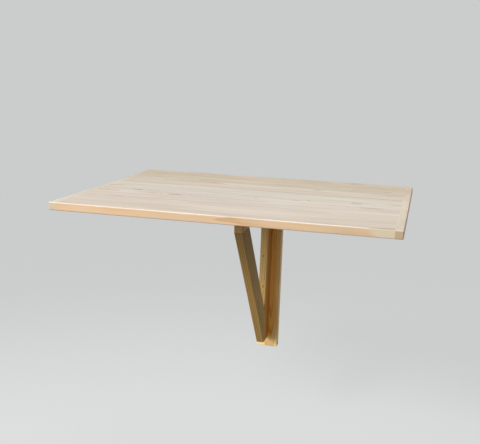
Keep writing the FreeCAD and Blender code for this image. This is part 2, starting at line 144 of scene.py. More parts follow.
# %% Noise patterns of the log
PATTERNS_MM = {  # along the grain, across it, levels of detail
    "sway": (360, 95, 1),
    "ripple": (75, 15, 2),
    "years": (2000, 22, 2),
    "tone": (300, 38, 3),
    "fibre": (95, 1.1, 3),
    "resin": (22, 0.9, 1),
}
NOISE_ROUGHNESS = 0.55
noise = {}
for name, (along, across, detail) in PATTERNS_MM.items():
    stretched = add_node(
        log,
        "ShaderNodeVectorMath",
        {0: board_in["Place in log"], 1: (1 / along, 1 / across, 1 / across)},
        operation="MULTIPLY",
    )
    noise[name] = add_node(
        log,
        "ShaderNodeTexNoise",
        {"Vector": stretched.outputs[0], "Scale": 1.0, "Detail": detail, "Roughness": NOISE_ROUGHNESS},
    ).outputs
print("patterns:", ", ".join(noise))

# %% [markdown]
# ## Growth rings
# The distance from the pith, divided by the width of a ring, counts the years. Before that the place is
# pushed about by the sway and the ripple, so that rings aren't perfect cylinders, and around a knot
# the rings bulge.

# %% Distance from the pith
SWAY_MM = 20
RIPPLE_MM = 2.2
MID_NOISE = (0.5, 0.5, 0.5)
pushed = board_in["Place in log"]
for name, reach in (("sway", SWAY_MM), ("ripple", RIPPLE_MM)):
    centred = add_node(
        log, "ShaderNodeVectorMath", {0: noise[name]["Color"], 1: MID_NOISE}, operation="SUBTRACT"
    )
    moved = add_node(
        log,
        "ShaderNodeVectorMath",
        {0: centred.outputs[0], 1: (0, reach, reach), 2: pushed},
        operation="MULTIPLY_ADD",
    )
    pushed = moved.outputs[0]
flat = add_node(log, "ShaderNodeVectorMath", {0: pushed, 1: (0, 1, 1)}, operation="MULTIPLY")
from_pith = add_node(log, "ShaderNodeVectorMath", {0: flat.outputs[0]}, operation="LENGTH").outputs["Value"]
print("rings sway by", SWAY_MM, "mm and ripple by", RIPPLE_MM, "mm")

# %% [markdown]
# The fraction of the year goes through a ramp: pale for most of it, a slow rise to summer wood and a
# sudden fall back, which is what gives softwood its crisp lines. A good summer leaves a strong dark band
# and a poor one a faint band, so a second draw from the noise sets its strength.

# %% Bands of spring and summer wood
KNOT_PUSH_MM = 9
BULGE = {"From Min": 0.6, "From Max": 4.0, "To Min": KNOT_PUSH_MM, "To Max": 0.0}  # knot radii, to mm
YEARS_ADRIFT = 2.2  # how many years the noise can shift a ring
YEAR = {0.0: 0.06, 0.45: 0.10, 0.84: 0.75, 0.93: 1.0, 1.0: 0.06}  # share of summer wood through one year
SUMMERS = {"From Min": 0.35, "From Max": 0.65, "To Min": 0.45, "To Max": 1.3}  # from a poor to a good one
bulge = add_node(
    log,
    "ShaderNodeMapRange",
    {"Value": board_in["Knot distance"], **BULGE},
    interpolation_type="SMOOTHERSTEP",
)
bulged = add_node(log, "ShaderNodeMath", {0: from_pith, 1: bulge.outputs[0]}, operation="ADD")
years = add_node(log, "ShaderNodeMath", {0: bulged.outputs[0], 1: board_in["Ring width"]}, operation="DIVIDE")
uneven = add_node(
    log,
    "ShaderNodeMath",
    {0: noise["years"]["Fac"], 1: YEARS_ADRIFT, 2: years.outputs[0]},
    operation="MULTIPLY_ADD",
)
season = add_node(log, "ShaderNodeMath", {0: uneven.outputs[0]}, operation="FRACT")
band = add_node(
    log,
    "ShaderNodeValToRGB",
    {"Fac": season.outputs[0]},
    [(place, (share, share, share, 1)) for place, share in YEAR.items()],
)
weather = add_node(log, "ShaderNodeSeparateColor", {0: noise["years"]["Color"]})
strength = add_node(log, "ShaderNodeMapRange", {"Value": weather.outputs["Green"], **SUMMERS})
summer = add_node(
    log,
    "ShaderNodeMath",
    {0: band.outputs["Color"], 1: strength.outputs[0]},
    operation="MULTIPLY",
    use_clamp=True,
).outputs[0]
print("rings bulge by", KNOT_PUSH_MM, "mm at a knot")

# %% [markdown]
# ## Colour of the wood
# Spring and summer wood are mixed by the bands. Towards the pith lies the heart, redder and darker, with
# a ragged edge. Its colour multiplies the wood's, so that the rings still show in it.

# %% Mix rings and heart
HEART_RAGGED_MM = 14
HEART_EDGE_MM = {"From Min": -4.0, "From Max": 4.0}  # the heart fades out over this
ringed = add_node(
    log,
    "ShaderNodeMix",
    {SHARE: summer, FROM: board_in["Spring wood"], TO: board_in["Summer wood"]},
    data_type="RGBA",
)
ragged_radius = add_node(
    log,
    "ShaderNodeMath",
    {0: noise["tone"]["Fac"], 1: HEART_RAGGED_MM, 2: board_in["Heart radius"]},
    operation="MULTIPLY_ADD",
)
outside = add_node(log, "ShaderNodeMath", {0: from_pith, 1: HEART_RAGGED_MM / 2}, operation="ADD")
inwards = add_node(
    log, "ShaderNodeMath", {0: ragged_radius.outputs[0], 1: outside.outputs[0]}, operation="SUBTRACT"
)
heart = add_node(
    log, "ShaderNodeMapRange", {"Value": inwards.outputs[0], **HEART_EDGE_MM}, interpolation_type="SMOOTHSTEP"
)
hearted = add_node(
    log,
    "ShaderNodeMix",
    {SHARE: heart.outputs[0], FROM: ringed.outputs[MIXED], TO: board_in["Heart wood"]},
    data_type="RGBA",
    blend_type="MULTIPLY",
)
print("rings and heart take", len(log.nodes), "nodes so far")

# %% [markdown]
# Slow tone and fine fibres then lighten and darken the wood a little, and short resin canals leave thin
# brown dashes. A face cut across the grain shows the open ends of the fibres, which have a colour of
# their own, with the rings still faintly there.

# %% Tone, fibres, resin and sawn ends
TONE = {"From Min": 0.3, "From Max": 0.7, "To Min": 0.90, "To Max": 1.07}  # darkest, lightest
FIBRE = {"From Min": 0.3, "From Max": 0.7, "To Min": 0.93, "To Max": 1.05}
DASHES = {"From Min": 0.70, "From Max": 0.78, "To Max": 0.35}  # only the peaks of the noise
RESIN = "#8a5a2c"
END_SHARE = 0.7  # how much of a sawn end is the colour of the open fibres
tone = add_node(log, "ShaderNodeMapRange", {"Value": noise["tone"]["Fac"], **TONE})
fibre = add_node(log, "ShaderNodeMapRange", {"Value": noise["fibre"]["Fac"], **FIBRE})
shade = add_node(log, "ShaderNodeMath", {0: tone.outputs[0], 1: fibre.outputs[0]}, operation="MULTIPLY")
shaded = add_node(
    log, "ShaderNodeVectorMath", {0: hearted.outputs[MIXED], "Scale": shade.outputs[0]}, operation="SCALE"
)
dashes = add_node(log, "ShaderNodeMapRange", {"Value": noise["resin"]["Fac"], **DASHES})
resined = add_node(
    log,
    "ShaderNodeMix",
    {SHARE: dashes.outputs[0], FROM: shaded.outputs[0], TO: linear(RESIN)},
    data_type="RGBA",
)
open_ends = add_node(log, "ShaderNodeMath", {0: board_in["End grain"], 1: END_SHARE}, operation="MULTIPLY")
ended = add_node(
    log,
    "ShaderNodeMix",
    {SHARE: open_ends.outputs[0], FROM: resined.outputs[MIXED], TO: board_in["End wood"]},
    data_type="RGBA",
)
print("colour takes", len(log.nodes), "nodes so far")

# %% [markdown]
# ## Knots
# A knot is the root of a branch that the saw cut through. It has narrow rings of its own, and a dark rim
# where its bark was. The knot distance is 0 in its middle and 1 at its rim, so a ramp on it can draw
# the whole knot, and a fine ripple keeps the rim from being a perfect ellipse.

# %% Draw the knots
KNOT_RAGGED = 0.7  # how far the ripple moves the rim, in radii of the knot
KNOT_RING = 0.22  # half the spacing of a knot's own rings, in its radii
KNOT_RINGS = {"From Max": KNOT_RING, "To Max": 0.4}
KNOT_RIM = {0.0: 0.0, 0.7: 0.0, 0.95: 1.0, 1.0: 0.0}  # share of the rim's colour along the radius
KNOT_INSIDE = {"From Min": 0.9, "From Max": 1.15, "To Min": 0.85, "To Max": 0.0}
ragged = add_node(
    log,
    "ShaderNodeMath",
    {0: noise["ripple"]["Fac"], 1: KNOT_RAGGED, 2: board_in["Knot distance"]},
    operation="MULTIPLY_ADD",
)
knot = add_node(log, "ShaderNodeMath", {0: ragged.outputs[0], 1: KNOT_RAGGED / 2}, operation="SUBTRACT")
knot_rings = add_node(log, "ShaderNodeMath", {0: knot.outputs[0], 1: KNOT_RING}, operation="PINGPONG")
knot_ring = add_node(log, "ShaderNodeMapRange", {"Value": knot_rings.outputs[0], **KNOT_RINGS})
knot_wood = add_node(
    log,
    "ShaderNodeMix",
    {SHARE: knot_ring.outputs[0], FROM: board_in["Knot wood"], TO: board_in["Knot rim"]},
    data_type="RGBA",
)
rim = add_node(
    log,
    "ShaderNodeValToRGB",
    {"Fac": knot.outputs[0]},
    [(place, (share, share, share, 1)) for place, share in KNOT_RIM.items()],
)
rimmed = add_node(
    log,
    "ShaderNodeMix",
    {SHARE: rim.outputs["Color"], FROM: knot_wood.outputs[MIXED], TO: board_in["Knot rim"]},
    data_type="RGBA",
)
inside = add_node(log, "ShaderNodeMapRange", {"Value": knot.outputs[0], **KNOT_INSIDE})
knotted = add_node(
    log,
    "ShaderNodeMix",
    {SHARE: inside.outputs[0], FROM: ended.outputs[MIXED], TO: rimmed.outputs[MIXED]},
    data_type="RGBA",
)
print("knots drawn with", len(log.nodes), "nodes in all")

# %% [markdown]
# ## Gloss and relief
# Planed and sanded pine soaks up most of a thin clear finish and scatters light softly, so its roughness
# is about 0.6. Hard summer wood stays a little smoother than spring wood, and a sawn end is the roughest.
# Sanding takes a few hundredths of a millimetre more off the soft spring wood, and fibres and resin canals
# leave fine furrows. The height keeps all that in millimetres for a bump node.

# %% Roughness and height of the surface
WOOD_ROUGHNESS = {"To Min": 0.64, "To Max": 0.54}  # spring wood, summer wood
FIBRE_ROUGHNESS = 0.16
END_ROUGHNESS = 0.15
RIDGE_MM = 0.03  # summer wood over spring wood
FURROW_MM = 0.06  # between fibres
CANAL_MM = 0.12  # an open resin canal
softness = add_node(log, "ShaderNodeMapRange", {"Value": summer, **WOOD_ROUGHNESS})
grained = add_node(
    log,
    "ShaderNodeMath",
    {0: noise["fibre"]["Fac"], 1: FIBRE_ROUGHNESS, 2: softness.outputs[0]},
    operation="MULTIPLY_ADD",
)
rough_end = add_node(
    log,
    "ShaderNodeMath",
    {0: board_in["End grain"], 1: END_ROUGHNESS, 2: grained.outputs[0]},
    operation="MULTIPLY_ADD",
)
gloss = add_node(
    log, "ShaderNodeMath", {0: rough_end.outputs[0], 1: FIBRE_ROUGHNESS / 2}, operation="SUBTRACT"
)
ridge = add_node(log, "ShaderNodeMath", {0: summer, 1: RIDGE_MM}, operation="MULTIPLY")
furrow = add_node(
    log,
    "ShaderNodeMath",
    {0: noise["fibre"]["Fac"], 1: FURROW_MM, 2: ridge.outputs[0]},
    operation="MULTIPLY_ADD",
)
canal = add_node(
    log,
    "ShaderNodeMath",
    {0: dashes.outputs[0], 1: -CANAL_MM, 2: furrow.outputs[0]},
    operation="MULTIPLY_ADD",
)
add_node(
    log,
    "NodeGroupOutput",
    {"Colour": knotted.outputs[MIXED], "Roughness": gloss.outputs[0], "Height": canal.outputs[0]},
)
print("log group ready:", len(log.nodes), "nodes and", len(log.links), "links")

# %% [markdown]
# ## Where each board was sawn
# A board needs the direction of its grain, the direction across its wide face, and the place of the pith
# measured from the board's middle in millimetres. A pith some way under the face gives arches, a pith far
# off to one side gives straight lines. A small tilt in degrees between the pith and the board draws the
# arches out, and the start says how far up the tree the board was cut.
# A Mapping node holds all that: it scales metres to millimetres, turns the grain to X and moves the pith
# to zero.

# %% Turn a board's place into a place in the log
X, Y, Z = (1, 0, 0), (0, 1, 0), (0, 0, 1)
RARE = {"heart": 0, "knots": (), "sap": (), "seams": (), "own": {}, "tint": "#ffffff"}


def board(node, along, across, pith, tilt, start, ring, **more):
    """The facts of one board: what few boards have, such as knots, is given by name."""
    common = {"node": node, "along": along, "across": across, "pith": pith, "tilt": tilt}
    return {**common, "start": start, "ring": ring, **RARE, **more}


def sawn_from(facts):
    """Location and rotation, for a Mapping node in millimetres, that put a board in its log."""
    low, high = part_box(facts["node"])
    x_axis = Vector(facts["along"]).normalized()
    y_axis = Vector(facts["across"]).normalized()
    lean = Euler((0, *map(math.radians, facts["tilt"]))).to_matrix()
    turn = lean @ Matrix((x_axis, y_axis, x_axis.cross(y_axis)))
    middle = turn @ ((low + high) / 2 / MM)
    return Vector((facts["start"], -facts["pith"][0], -facts["pith"][1])) - middle, turn.to_euler()


trial = board("leaf_stave_front", X, Y, (10, -60), (0, 0), 0, 4.5)
print("a trial board lies at", [round(x, 1) for x in sawn_from(trial)[0]])

# %% [markdown]
# ## What a board has of its own
# Sun and rain fade bare pine, so on the table top the faces that look up are paler than the edges. That
# pale colour is partly faded wood and partly painted light and sheen from above, with a painted highlight
# on the rounded front edge. Towards the back it is painted less pale, a painted shade that stands for the
# shelter there. Which way a face looks comes from its normal, so one material does for the whole board.
# A tint sets each board slightly apart from its neighbours.

# %% Tint and bleach the woods of a board
# Faces that look even a little up take the pale colour, which on the rounded front edge is a painted
# highlight.
SKYWARD = {"From Min": 0.1, "From Max": 0.6}  # upward part of the face's direction
# The pale share falls to 0.6 at the back over its last 300 mm: painted shade towards the back.
BACK_SHADE_MM = 300
SHELTER_AND_SHADE = {"From Min": 0.0, "From Max": -BACK_SHADE_MM * MM, "To Min": 0.6, "To Max": 1.0}


def tinted(code, tint):
    """A wood's colour under the slight tint of its own board."""
    return [wood * part for wood, part in zip(linear(code), linear(tint))]


def bleached_and_lit(tree, here, woods, faded):
    """The woods of a board, each mixed with its faded colour on the faces that look up; that colour is partly
    painted light, and painted shade makes it weaker towards the back.
    """
    up = add_node(tree, "ShaderNodeSeparateXYZ", {0: here["Normal"]}).outputs["Z"]
    sky = add_node(tree, "ShaderNodeMapRange", {"Value": up, **SKYWARD})
    depth = add_node(tree, "ShaderNodeSeparateXYZ", {0: here["Object"]}).outputs["Y"]
    shelter_and_shade = add_node(tree, "ShaderNodeMapRange", {"Value": depth, **SHELTER_AND_SHADE}, interpolation_type="SMOOTHSTEP")
    bleach_and_light = add_node(tree, "ShaderNodeMath", {0: sky.outputs[0], 1: shelter_and_shade.outputs[0]}, operation="MULTIPLY")
    mixed = dict(woods)
    for name, colour in faded.items():
        both = add_node(
            tree,
            "ShaderNodeMix",
            {SHARE: bleach_and_light.outputs[0], FROM: woods[name], TO: colour},
            data_type="RGBA",
        )
        mixed[name] = both.outputs[MIXED]
    return mixed


print("bleaching is full from", BACK_SHADE_MM, "mm before the back")

# %% [markdown]
# Knots and a corner of sapwood have a place on their board, so both are ellipsoids: a Mapping node set to
# Texture moves the spot to zero and its radii to one, and the length of the result is the distance as a share
# of the radius. The sapwood corner is painted darker and greyer than the top around it, as painted shade at
# the right front corner.

# %% Knots and sapwood of a board
# A grey tan, darker than the faded top: painted shade at the right front corner, over the sapwood.
SAPWOOD_IN_SHADE = "#c0b29a"
SAP_EDGE = {"From Min": 0.8, "From Max": 1.1, "To Min": 1.0, "To Max": 0.0}
NO_KNOT = 50.0  # a distance at which no knot is felt


def away_from(tree, place, spot, radii):
    """Distance from a spot in millimetres, as a share of the radii around it."""
    ellipse = add_node(
        tree,
        "ShaderNodeMapping",
        {"Vector": place, "Location": Vector(spot) * MM, "Scale": Vector(radii) * MM},
        vector_type="TEXTURE",
    )
    length = add_node(tree, "ShaderNodeVectorMath", {0: ellipse.outputs[0]}, operation="LENGTH")
    return length.outputs["Value"]


def knot_distance(tree, place, knots):
    """Distance from the nearest of a board's knots."""
    nearest = NO_KNOT
    for spot, radii in knots:
        away = away_from(tree, place, spot, radii)
        nearest = add_node(tree, "ShaderNodeMath", {0: nearest, 1: away}, operation="MINIMUM").outputs[0]
    return nearest


def with_shaded_sapwood(tree, place, colour, corners):
    """The board's colour, with sapwood at the given corners, painted darker and greyer as shade."""
    for spot, radii in corners:
        away = away_from(tree, place, spot, radii)
        pale = add_node(
            tree, "ShaderNodeMapRange", {"Value": away, **SAP_EDGE}, interpolation_type="SMOOTHSTEP"
        )
        shaded_sapwood = add_node(
            tree,
            "ShaderNodeMix",
            {SHARE: pale.outputs[0], FROM: colour, TO: linear(SAPWOOD_IN_SHADE)},
            data_type="RGBA",
        )
        colour = shaded_sapwood.outputs[MIXED]
    return colour


print("sapwood is", SAPWOOD_IN_SHADE)

# %% [markdown]
# Each glue line between staves has a dark line painted along it: partly the glue line, and partly a painted
# shade of the narrow gap between the staves. How dark it is changes along the line, so each one has a
# strength at its left end and one at its right end.

# %% Glue lines of a board
# Colour of a glue line, also a painted shade of the gap between staves.
GLUE_LINE_AND_GAP_SHADE = "#7d6044"
SEAM_CORE_MM = 0.2
SEAM_MM = 1.7
TOP_LENGTH = {"From Min": cad_box[0].x, "From Max": cad_box[1].x}


def with_glue_lines(tree, place, colour, seams):
    """The board's colour, with a dark line where its edge is glued to the next stave, partly painted gap
    shade.
    """
    for seam, left, right in seams:
        where = add_node(tree, "ShaderNodeSeparateXYZ", {0: place}).outputs
        dark = add_node(
            tree,
            "ShaderNodeMapRange",
            {"Value": where["X"], **TOP_LENGTH, "To Min": left, "To Max": right},
            interpolation_type="SMOOTHSTEP",
        )
        off = add_node(tree, "ShaderNodeMath", {0: where["Y"], 1: seam * MM}, operation="ADD")
        far = add_node(tree, "ShaderNodeMath", {0: off.outputs[0]}, operation="ABSOLUTE")
        line = add_node(
            tree,
            "ShaderNodeMapRange",
            {
                "Value": far.outputs[0],
                "From Min": SEAM_CORE_MM * MM,
                "From Max": SEAM_MM * MM,
                "To Min": dark.outputs[0],
                "To Max": 0.0,
            },
        )
        seam_shaded = add_node(
            tree,
            "ShaderNodeMix",
            {SHARE: line.outputs[0], FROM: colour, TO: linear(GLUE_LINE_AND_GAP_SHADE)},
            data_type="RGBA",
        )
        colour = seam_shaded.outputs[MIXED]
    return colour


print("glue lines fade out over", SEAM_MM, "mm")

# %% [markdown]
# ## The material of one pine board
# The tree is short, because the log group does the work: the place in the log, the cut of the face, the
# woods of this board, the group, and the shader. Wood with a thin soaked-in finish mirrors little, so its
# specular level is far under the default.

# %% A function that makes a board's material
END_FACING = {"From Min": 0.6, "From Max": 0.95}  # how squarely a face is cut across the grain
WOOD_IOR = 1.5
WOOD_SPECULAR = 0.12
RELIEF_STRENGTH = 0.6


def planed_pine(facts, palette, faded_and_lit=None):
    """Planed and sanded pine with a thin clear finish, for one board."""
    material = blank_material("planed_pine_" + facts["node"])
    tree = material.node_tree
    here = add_node(tree, "ShaderNodeTexCoord").outputs
    location, rotation = sawn_from(facts)
    place = add_node(
        tree,
        "ShaderNodeMapping",
        {"Vector": here["Object"], "Location": location, "Rotation": rotation, "Scale": (1 / MM,) * 3},
    )
    grain = Vector(facts["along"]).normalized()
    across_cut = add_node(
        tree, "ShaderNodeVectorMath", {0: here["Normal"], 1: grain}, operation="DOT_PRODUCT"
    )
    facing = add_node(tree, "ShaderNodeMath", {0: across_cut.outputs["Value"]}, operation="ABSOLUTE")
    end_grain = add_node(tree, "ShaderNodeMapRange", {"Value": facing.outputs[0], **END_FACING})
    woods = {name: tinted(code, facts["tint"]) for name, code in {**palette, **facts["own"]}.items()}
    # The faded colours, which are also painted light from above, go on the faces that look up.
    if faded_and_lit:
        faded = {name: tinted(code, facts["tint"]) for name, code in faded_and_lit.items()}
        woods = bleached_and_lit(tree, here, woods, faded)
    wood = add_node(
        tree,
        "ShaderNodeGroup",
        {
            "Place in log": place.outputs[0],
            "Ring width": facts["ring"],
            "Heart radius": facts["heart"],
            "Knot distance": knot_distance(tree, here["Object"], facts["knots"]),
            "End grain": end_grain.outputs[0],
            **woods,
        },
        node_tree=log,
    ).outputs
    sapped_and_shaded = with_shaded_sapwood(tree, here["Object"], wood["Colour"], facts["sap"])
    relief = add_node(
        tree, "ShaderNodeBump", {"Height": wood["Height"], "Distance": MM, "Strength": RELIEF_STRENGTH}
    )
    shader = add_node(
        tree,
        "ShaderNodeBsdfPrincipled",
        {
            "Base Color": with_glue_lines(tree, here["Object"], sapped_and_shaded, facts["seams"]),
            "Roughness": wood["Roughness"],
            "Normal": relief.outputs[0],
            "IOR": WOOD_IOR,
            "Specular IOR Level": WOOD_SPECULAR,
        },
    )
    add_node(tree, "ShaderNodeOutputMaterial", {"Surface": shader.outputs[0]})
    dress([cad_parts[facts["node"]]], material)


print("planed_pine is ready, with a relief of", RIDGE_MM + FURROW_MM, "mm")

# %% [markdown]
# ## The table top
# Where rain and sunlight reach it the pine has faded to a pale cream, and elsewhere it is a warmer tan. So
# the top has two sets of colours, one for edges and undersides and one for the faces that look up. The pale
# set is also painted light and sheen from above, not only faded wood. On the end strips the faded rings are
# fainter.

# %% Colours of the top
TOP_WOOD = {
    "Spring wood": "#cbb294",
    "Summer wood": "#bb9972",
    "Heart wood": "#efd9c0",
    "End wood": "#b4ac96",
    "Knot wood": "#b98a58",
    "Knot rim": "#744c2c",
}
# Faded colours that also stand for painted light and sheen on faces that look up.
TOP_FADED_AND_LIT = {
    "Spring wood": "#e4ddd3",
    "Summer wood": "#d2bfa7",
    "Knot wood": "#bd9d7a",
    "Knot rim": "#8f6f54",
}
STRIP_FADED_AND_LIT = {**TOP_FADED_AND_LIT, "Spring wood": "#e2dacd", "Summer wood": "#d9ccb9"}
print("the top fades from", TOP_WOOD["Spring wood"], "to", TOP_FADED_AND_LIT["Spring wood"])

# %% [markdown]
# A fixed ledge board and five glued staves lie side by side with their grain along the table, and a narrow
# strip crosses each end. The boards come from different logs, so each has its own pith, rings, tilt and
# tint. The knots and the darker glue lines, partly painted gap shade, are where the real top has them. The
# front stave ends at the right in a corner of sapwood, painted darker and greyer as shade at that corner.

# %% Boards of the top
THROUGH = 1e6  # a radius in mm that takes a knot right through its board
front_low, front_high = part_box("leaf_stave_front")
front_corner = Vector((front_high.x, front_low.y, front_high.z))
TOP_BOARDS = [
    board("ledge_board", X, Y, (22, -75), (0.5, 0.4), 300, 4.2, tint="#fdfdf8"),
    board(
        "leaf_stave_rear", X, Y, (-30, -58), (0.7, -0.5), 1500, 4.8,
        seams=[(130, 0.3, 0.3)],
        tint="#fbfdf6",
    ),
    board(
        "leaf_stave_middle_1", X, Y, (12, -46), (-0.8, 0.5), 2600, 5.0,
        knots=[((144, -167, 0), (6, 2.6, THROUGH))],
        seams=[(130, 0.3, 0.3), (240, 0.25, 1.0)],
        tint="#fffdfa",
    ),
    board(
        "leaf_stave_middle_2", X, Y, (-18, 62), (0.9, 0.3), 4100, 4.4,
        knots=[
            ((257, -330, 0), (13, 3.2, THROUGH)),
            ((148, -333, 0), (5, 2.4, THROUGH)),
            ((117, -345, 0), (11, 1.8, THROUGH)),
            ((24, -346, 0), (4, 2.2, THROUGH)),
        ],
        seams=[(240, 0.25, 1.0), (350, 0.4, 0.25)],
        tint="#fdfefb",
    ),
    board(
        "leaf_stave_middle_3", X, Y, (26, -52), (-0.6, -0.6), 5300, 5.2,
        knots=[
            ((-265, -358, 0), (11, 3.6, THROUGH)),
            ((-160, -390, 0), (17, 4, THROUGH)),
            ((296, -378, 0), (26, 2.4, THROUGH)),
        ],
        seams=[(350, 0.4, 0.25), (460, 1.0, 0.25)],
        tint="#fffdfc",
    ),
    board(
        "leaf_stave_front", X, Y, (61, -14), (0.5, 0.4), 7400, 5.5,
        sap=[(front_corner / MM, (60, 14, 23))],
        seams=[(460, 1.0, 0.25)],
        tint="#fffbf7",
    ),
]
END_STRIPS = [
    board("leaf_end_strip_left", Y, Z, (40, 30), (0.3, 0.3), 8000, 3.6),
    board(
        "leaf_end_strip_right", Y, Z, (-35, 42), (-0.3, 0.4), 9100, 3.8,
        # Darker, greyer end grain than the left strip's: painted shade at the right front corner.
        own={"End wood": "#a39580"},
        tint="#fff9f3",
    ),
    board("ledge_end_strip_left", Y, Z, (40, 30), (0.3, 0.3), 8000, 3.6),
    board("ledge_end_strip_right", Y, Z, (-35, 42), (-0.3, 0.4), 9100, 3.8, tint="#fff9f3"),
]
for facts in TOP_BOARDS:
    planed_pine(facts, TOP_WOOD, TOP_FADED_AND_LIT)
for facts in END_STRIPS:
    planed_pine(facts, TOP_WOOD, STRIP_FADED_AND_LIT)
print("top boards:", len(TOP_BOARDS), "and end strips:", len(END_STRIPS))

# %% [markdown]
# ## The frame and the gate
# Post, ledger, stile, arm and brace are planed slats of the same pine, sheltered by the top, so
# their colour is fuller. The post was sawn close to the heart and shows its reddish streak between pale
# edges. Post, stile and brace each come from a log of their own. The post's colours are painted paler and
# brighter, as painted light for its place in the shade under the top, and the stile's and brace's are set
# darker.

# %% Boards of the frame
FRAME_WOOD = {
    "Spring wood": "#e3c18c",
    "Summer wood": "#bf8a4d",
    "Heart wood": "#f2c08a",
    "End wood": "#bd9660",
    "Knot wood": "#9a6a3a",
    "Knot rim": "#6a4424",
}
brace_low, brace_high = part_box("gate_brace")
BRACE_WAY = (0, brace_low.y - brace_high.y, brace_high.z - brace_low.z)
BRACE_SIDE = (0, BRACE_WAY[2], -BRACE_WAY[1])
FRAME_BOARDS = [
    board("wall_ledger", X, Z, (12, 48), (0.4, 0.3), 11000, 4.4, heart=30),
    board(
        "wall_post", Z, X, (4, -20), (2.9, 2.0), 12000, 4.8,
        heart=19,
        # Paler and brighter than the other slats: painted light for the post's place in the shade under the
        # top.
        own={"Spring wood": "#f7dba2", "Summer wood": "#dca754", "Heart wood": "#ffe2a6"},
    ),
    board(
        "gate_stile", Z, Y, (15, -30), (0.3, -0.2), 13000, 4.2,
        heart=40,
        knots=[((-9, 0, -160), (2.4, THROUGH, 3)), ((-6, 0, -247), (2.4, THROUGH, 3))],
        own={
            "Spring wood": "#c3a66c",
            "Summer wood": "#a37739",
            "Heart wood": "#ffce90",
            "Knot rim": "#7d5530",
        },
    ),
    board("gate_arm", Y, Z, (-14, 44), (0.5, 0.4), 14000, 4.6, heart=20),
    board(
        "gate_brace", BRACE_WAY, BRACE_SIDE, (16, -42), (-0.5, 0.4), 15000, 4.4,
        heart=22,
        own={"Spring wood": "#af9055", "Summer wood": "#8e6630"},
    ),
    board("rest_block", Y, X, (10, 40), (0.4, 0.2), 16000, 4.0),
]
for facts in FRAME_BOARDS:
    planed_pine(facts, FRAME_WOOD)
print("frame boards:", len(FRAME_BOARDS), "with the brace's grain along", [round(x, 3) for x in BRACE_WAY])

# %% [markdown]
# ## Beech dowels
# The dowels are turned beech, pinkish tan with short dark flecks, the ends of its rays. Turning leaves it
# dull, with fine grooves, so its roughness is a little over a half. The dowels are hidden in the joints,
# so a plain noise at the size of the flecks is enough for both.

# %% Turned beech
FLECK_MM = 1.6
FLECKS = {"From Min": 0.4, "From Max": 0.65}
TAN, FLECK_TAN = "#d0a57c", "#b78358"
GROOVE_MM = 0.1
GROOVE_STRENGTH = 0.4
BEECH_ROUGHNESS = 0.55
beech = blank_material("turned_beech")
tree = beech.node_tree
here = add_node(tree, "ShaderNodeTexCoord").outputs
flecks = add_node(
    tree, "ShaderNodeTexNoise", {"Vector": here["Object"], "Scale": 1 / (FLECK_MM * MM), "Detail": 3}
)
spread = add_node(tree, "ShaderNodeMapRange", {"Value": flecks.outputs["Fac"], **FLECKS})
flecked = add_node(
    tree,
    "ShaderNodeMix",
    {SHARE: spread.outputs[0], FROM: linear(TAN), TO: linear(FLECK_TAN)},
    data_type="RGBA",
)
grooves = add_node(
    tree,
    "ShaderNodeBump",
    {"Height": flecks.outputs["Fac"], "Distance": GROOVE_MM * MM, "Strength": GROOVE_STRENGTH},
)
shader = add_node(
    tree,
    "ShaderNodeBsdfPrincipled",
    {
        "Base Color": flecked.outputs[MIXED],
        "Roughness": BEECH_ROUGHNESS,
        "Normal": grooves.outputs[0],
    },
)
add_node(tree, "ShaderNodeOutputMaterial", {"Surface": shader.outputs[0]})
dowels = [node for name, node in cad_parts.items() if name.endswith("_dowels")]
dress(dowels, beech)
print("beech on", len(dowels), "nodes")

# %% [markdown]
# ## Zinc plated steel
# Hinge plates, pins and screws are pressed or turned steel with a thin bright zinc plating. The plating
# has a faint cloudiness some millimetres across, and rolling the sheet leaves fine lines. Those are too
# fine to show, so they are drawn half a millimetre wide. Noise gives both, and it needs no picture of
# scratches. A metal colours its reflections, so metallic is 1, and the IOR keeps its default.

# %% Bright zinc plating
CLOUD_MM = 5
LINE_MM = 0.5
LINE_LENGTH_MM = 40
LINE_DEPTH_MM = 0.05
LINE_STRENGTH = 0.3
ZINC, PALE_ZINC = "#b9bcc0", "#d8d8d2"
DULLNESS = {"From Min": 0.3, "From Max": 0.7, "To Min": 0.26, "To Max": 0.42}
zinc = blank_material("zinc_plated_pressed_steel")
tree = zinc.node_tree
here = add_node(tree, "ShaderNodeTexCoord").outputs
clouds = add_node(
    tree, "ShaderNodeTexNoise", {"Vector": here["Object"], "Scale": 1 / (CLOUD_MM * MM), "Detail": 4}
)
drawn_out = add_node(
    tree,
    "ShaderNodeMapping",
    {"Vector": here["Object"], "Scale": [1 / (size * MM) for size in (LINE_LENGTH_MM, LINE_MM, LINE_MM)]},
)
lines = add_node(tree, "ShaderNodeTexNoise", {"Vector": drawn_out.outputs[0], "Scale": 1.0, "Detail": 2})
clouded = add_node(
    tree,
    "ShaderNodeMix",
    {SHARE: clouds.outputs["Fac"], FROM: linear(ZINC), TO: linear(PALE_ZINC)},
    data_type="RGBA",
)
dulled = add_node(tree, "ShaderNodeMapRange", {"Value": clouds.outputs["Fac"], **DULLNESS})
scored = add_node(
    tree,
    "ShaderNodeBump",
    {"Height": lines.outputs["Fac"], "Distance": LINE_DEPTH_MM * MM, "Strength": LINE_STRENGTH},
)
shader = add_node(
    tree,
    "ShaderNodeBsdfPrincipled",
    {
        "Base Color": clouded.outputs[MIXED],
        "Metallic": 1.0,
        "Roughness": dulled.outputs[0],
        "Normal": scored.outputs[0],
    },
)
add_node(tree, "ShaderNodeOutputMaterial", {"Surface": shader.outputs[0]})
plated = [node for name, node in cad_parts.items() if name.endswith(("_plate", "_pin", "_screws"))]
dress(plated, zinc)
print("zinc on", len(plated), "nodes")

# %% [markdown]
# ## Floor
# A round pale floor lies at the height where a floor would be under such a table. It fades out towards its
# rim, so that no horizon shows, and it is see-through from below, so that the underside can be looked at.

